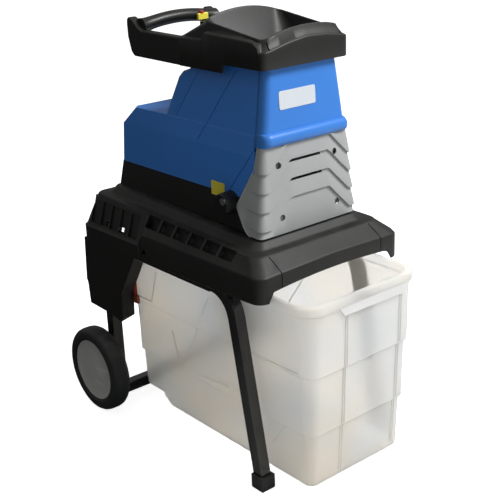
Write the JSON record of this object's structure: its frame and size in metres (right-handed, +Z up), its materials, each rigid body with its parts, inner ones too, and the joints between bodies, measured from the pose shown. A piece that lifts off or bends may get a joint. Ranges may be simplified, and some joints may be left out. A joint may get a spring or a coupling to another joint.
{
  "type": "wood chipper",
  "caption": "Electric roller wood chipper: a funnel over a geared cutting roller, on a wheeled tube frame with a slide-out collecting bin below.",
  "frame": {"origin": "on the floor, under the middle of the machine's bounding box", "axes": "+Z up, -Y towards the front, where the bin is drawn out, +X to the right of a person who feeds the machine from the front"},
  "size_m": [0.488, 0.744, 0.928],
  "materials": {
    "black_plastic": "fine moulded grain",
    "blue_plastic": "satin",
    "grey_plastic": "satin",
    "pale_plate": "plain",
    "painted_steel": "gloss powder coat",
    "foot_rubber": "matt",
    "tyre_rubber": "matt",
    "hub_plastic": "satin",
    "milky_plastic": "satin, lets some light through",
    "steel": "ground",
    "cast_aluminium": "as cast",
    "motor_iron": "as cast",
    "red_plastic": "satin",
    "green_plastic": "satin"
  },
  "bodies": {
    "machine": {"base": "black_plastic", "lower_housing": "black_plastic", "adjuster_bush": "black_plastic", "motor_cover": "blue_plastic", "front_panel": "blue_plastic", "front_grille": "grey_plastic", "front_plate": "pale_plate", "grille_screw_1": "steel", "grille_screw_2": "steel", "grille_screw_3": "steel", "grille_screw_4": "steel", "hopper": "black_plastic", "left_handle_arm": "black_plastic", "right_handle_arm": "black_plastic", "handle_grip": "black_plastic", "switch_box": "black_plastic", "power_inlet": "black_plastic", "left_front_leg": "painted_steel", "right_front_leg": "painted_steel", "left_foot_cap": "foot_rubber", "right_foot_cap": "foot_rubber", "left_rear_leg": "painted_steel", "right_rear_leg": "painted_steel", "left_leg_cover": "black_plastic", "right_leg_cover": "black_plastic", "left_axle": "steel", "right_axle": "steel", "left_spacer": "black_plastic", "right_spacer": "black_plastic", "left_bin_rail": "painted_steel", "right_bin_rail": "painted_steel", "rear_crossbar": "painted_steel", "interlock_switch": "black_plastic", "cutting_chamber": "cast_aluminium", "front_bearing": "steel", "rear_bearing": "steel", "discharge_chute": "black_plastic", "gearbox_case": "cast_aluminium", "gearbox_cover": "cast_aluminium", "motor_body": "motor_iron", "motor_end_shield": "cast_aluminium", "capacitor": "grey_plastic"},
    "left_wheel": {"left_tyre": "tyre_rubber", "left_hub": "hub_plastic"},
    "right_wheel": {"right_tyre": "tyre_rubber", "right_hub": "hub_plastic"},
    "collecting_bin": {"bin": "milky_plastic"},
    "lock_slide": {"bin_lock": "red_plastic"},
    "roller": {"cutting_roller": "steel", "output_gear": "steel"},
    "lay_unit": {"lay_shaft": "steel", "lay_gear": "steel"},
    "motor_rotor": {"motor_shaft": "motor_iron", "cooling_fan": "black_plastic"},
    "counter_plate": {"pressure_plate": "steel"},
    "plate_screw": {"adjusting_screw": "steel"},
    "start_push": {"start_button": "green_plastic"},
    "stop_push": {"stop_button": "red_plastic"},
    "reset_push": {"reset_button": "black_plastic"},
    "direction_switch": {"direction_knob": "black_plastic"}
  },
  "joints": [
    {"name": "left_wheel_spin", "type": "hinge", "parent": "machine", "child": "left_wheel", "pos_m": [-0.222, 0.272, 0.1], "axis": [1, 0, 0], "continuous": true},
    {"name": "right_wheel_spin", "type": "hinge", "parent": "machine", "child": "right_wheel", "pos_m": [0.222, 0.272, 0.1], "axis": [1, 0, 0], "continuous": true},
    {"name": "bin_slide", "type": "slide", "parent": "machine", "child": "collecting_bin", "axis": [0, -1, 0], "range_m": [-0.087, 0.4]},
    {"name": "bin_lock_slide", "type": "slide", "parent": "machine", "child": "lock_slide", "axis": [0, 0, 1], "range_m": [-0.02, 0]},
    {"name": "roller_spin", "type": "hinge", "parent": "machine", "child": "roller", "pos_m": [0.03, -0.08, 0.596], "axis": [0, 1, 0], "continuous": true},
    {"name": "lay_shaft_spin", "type": "hinge", "parent": "machine", "child": "lay_unit", "pos_m": [0.0026, 0.027, 0.63662], "axis": [0, 1, 0], "continuous": true},
    {"name": "motor_spin", "type": "hinge", "parent": "machine", "child": "motor_rotor", "pos_m": [0.04803, 0.12, 0.61827], "axis": [0, 1, 0], "continuous": true},
    {"name": "plate_feed", "type": "slide", "parent": "machine", "child": "counter_plate", "axis": [1, 0, 0], "range_m": [0, 0.006]},
    {"name": "adjuster_turn", "type": "hinge", "parent": "counter_plate", "child": "plate_screw", "pos_m": [-0.15003, -0.13, 0.577], "axis": [1, 0, 0], "range_deg": [0, 1440]},
    {"name": "start_push_slide", "type": "slide", "parent": "machine", "child": "start_push", "axis": [0, 0, -1], "range_m": [0, 0.004], "stiffness_N_per_m": 300, "springref_m": -0.002},
    {"name": "stop_push_slide", "type": "slide", "parent": "machine", "child": "stop_push", "axis": [0, 0, -1], "range_m": [0, 0.004], "stiffness_N_per_m": 300, "springref_m": -0.002},
    {"name": "reset_push_slide", "type": "slide", "parent": "machine", "child": "reset_push", "axis": [0, 0, -1], "range_m": [0, 0.004], "stiffness_N_per_m": 300, "springref_m": -0.002},
    {"name": "direction_turn", "type": "hinge", "parent": "machine", "child": "direction_switch", "pos_m": [0.07123, 0.094, 0.878], "axis": [0, 0, 1], "range_deg": [-45, 45]}
  ],
  "couplings": [
    {"joint": "lay_shaft_spin", "follows": "roller_spin", "ratio": -4},
    {"joint": "motor_spin", "follows": "roller_spin", "ratio": 16},
    {"joint": "adjuster_turn", "follows": "plate_feed", "rad_per_m": 4188.8}
  ]
}
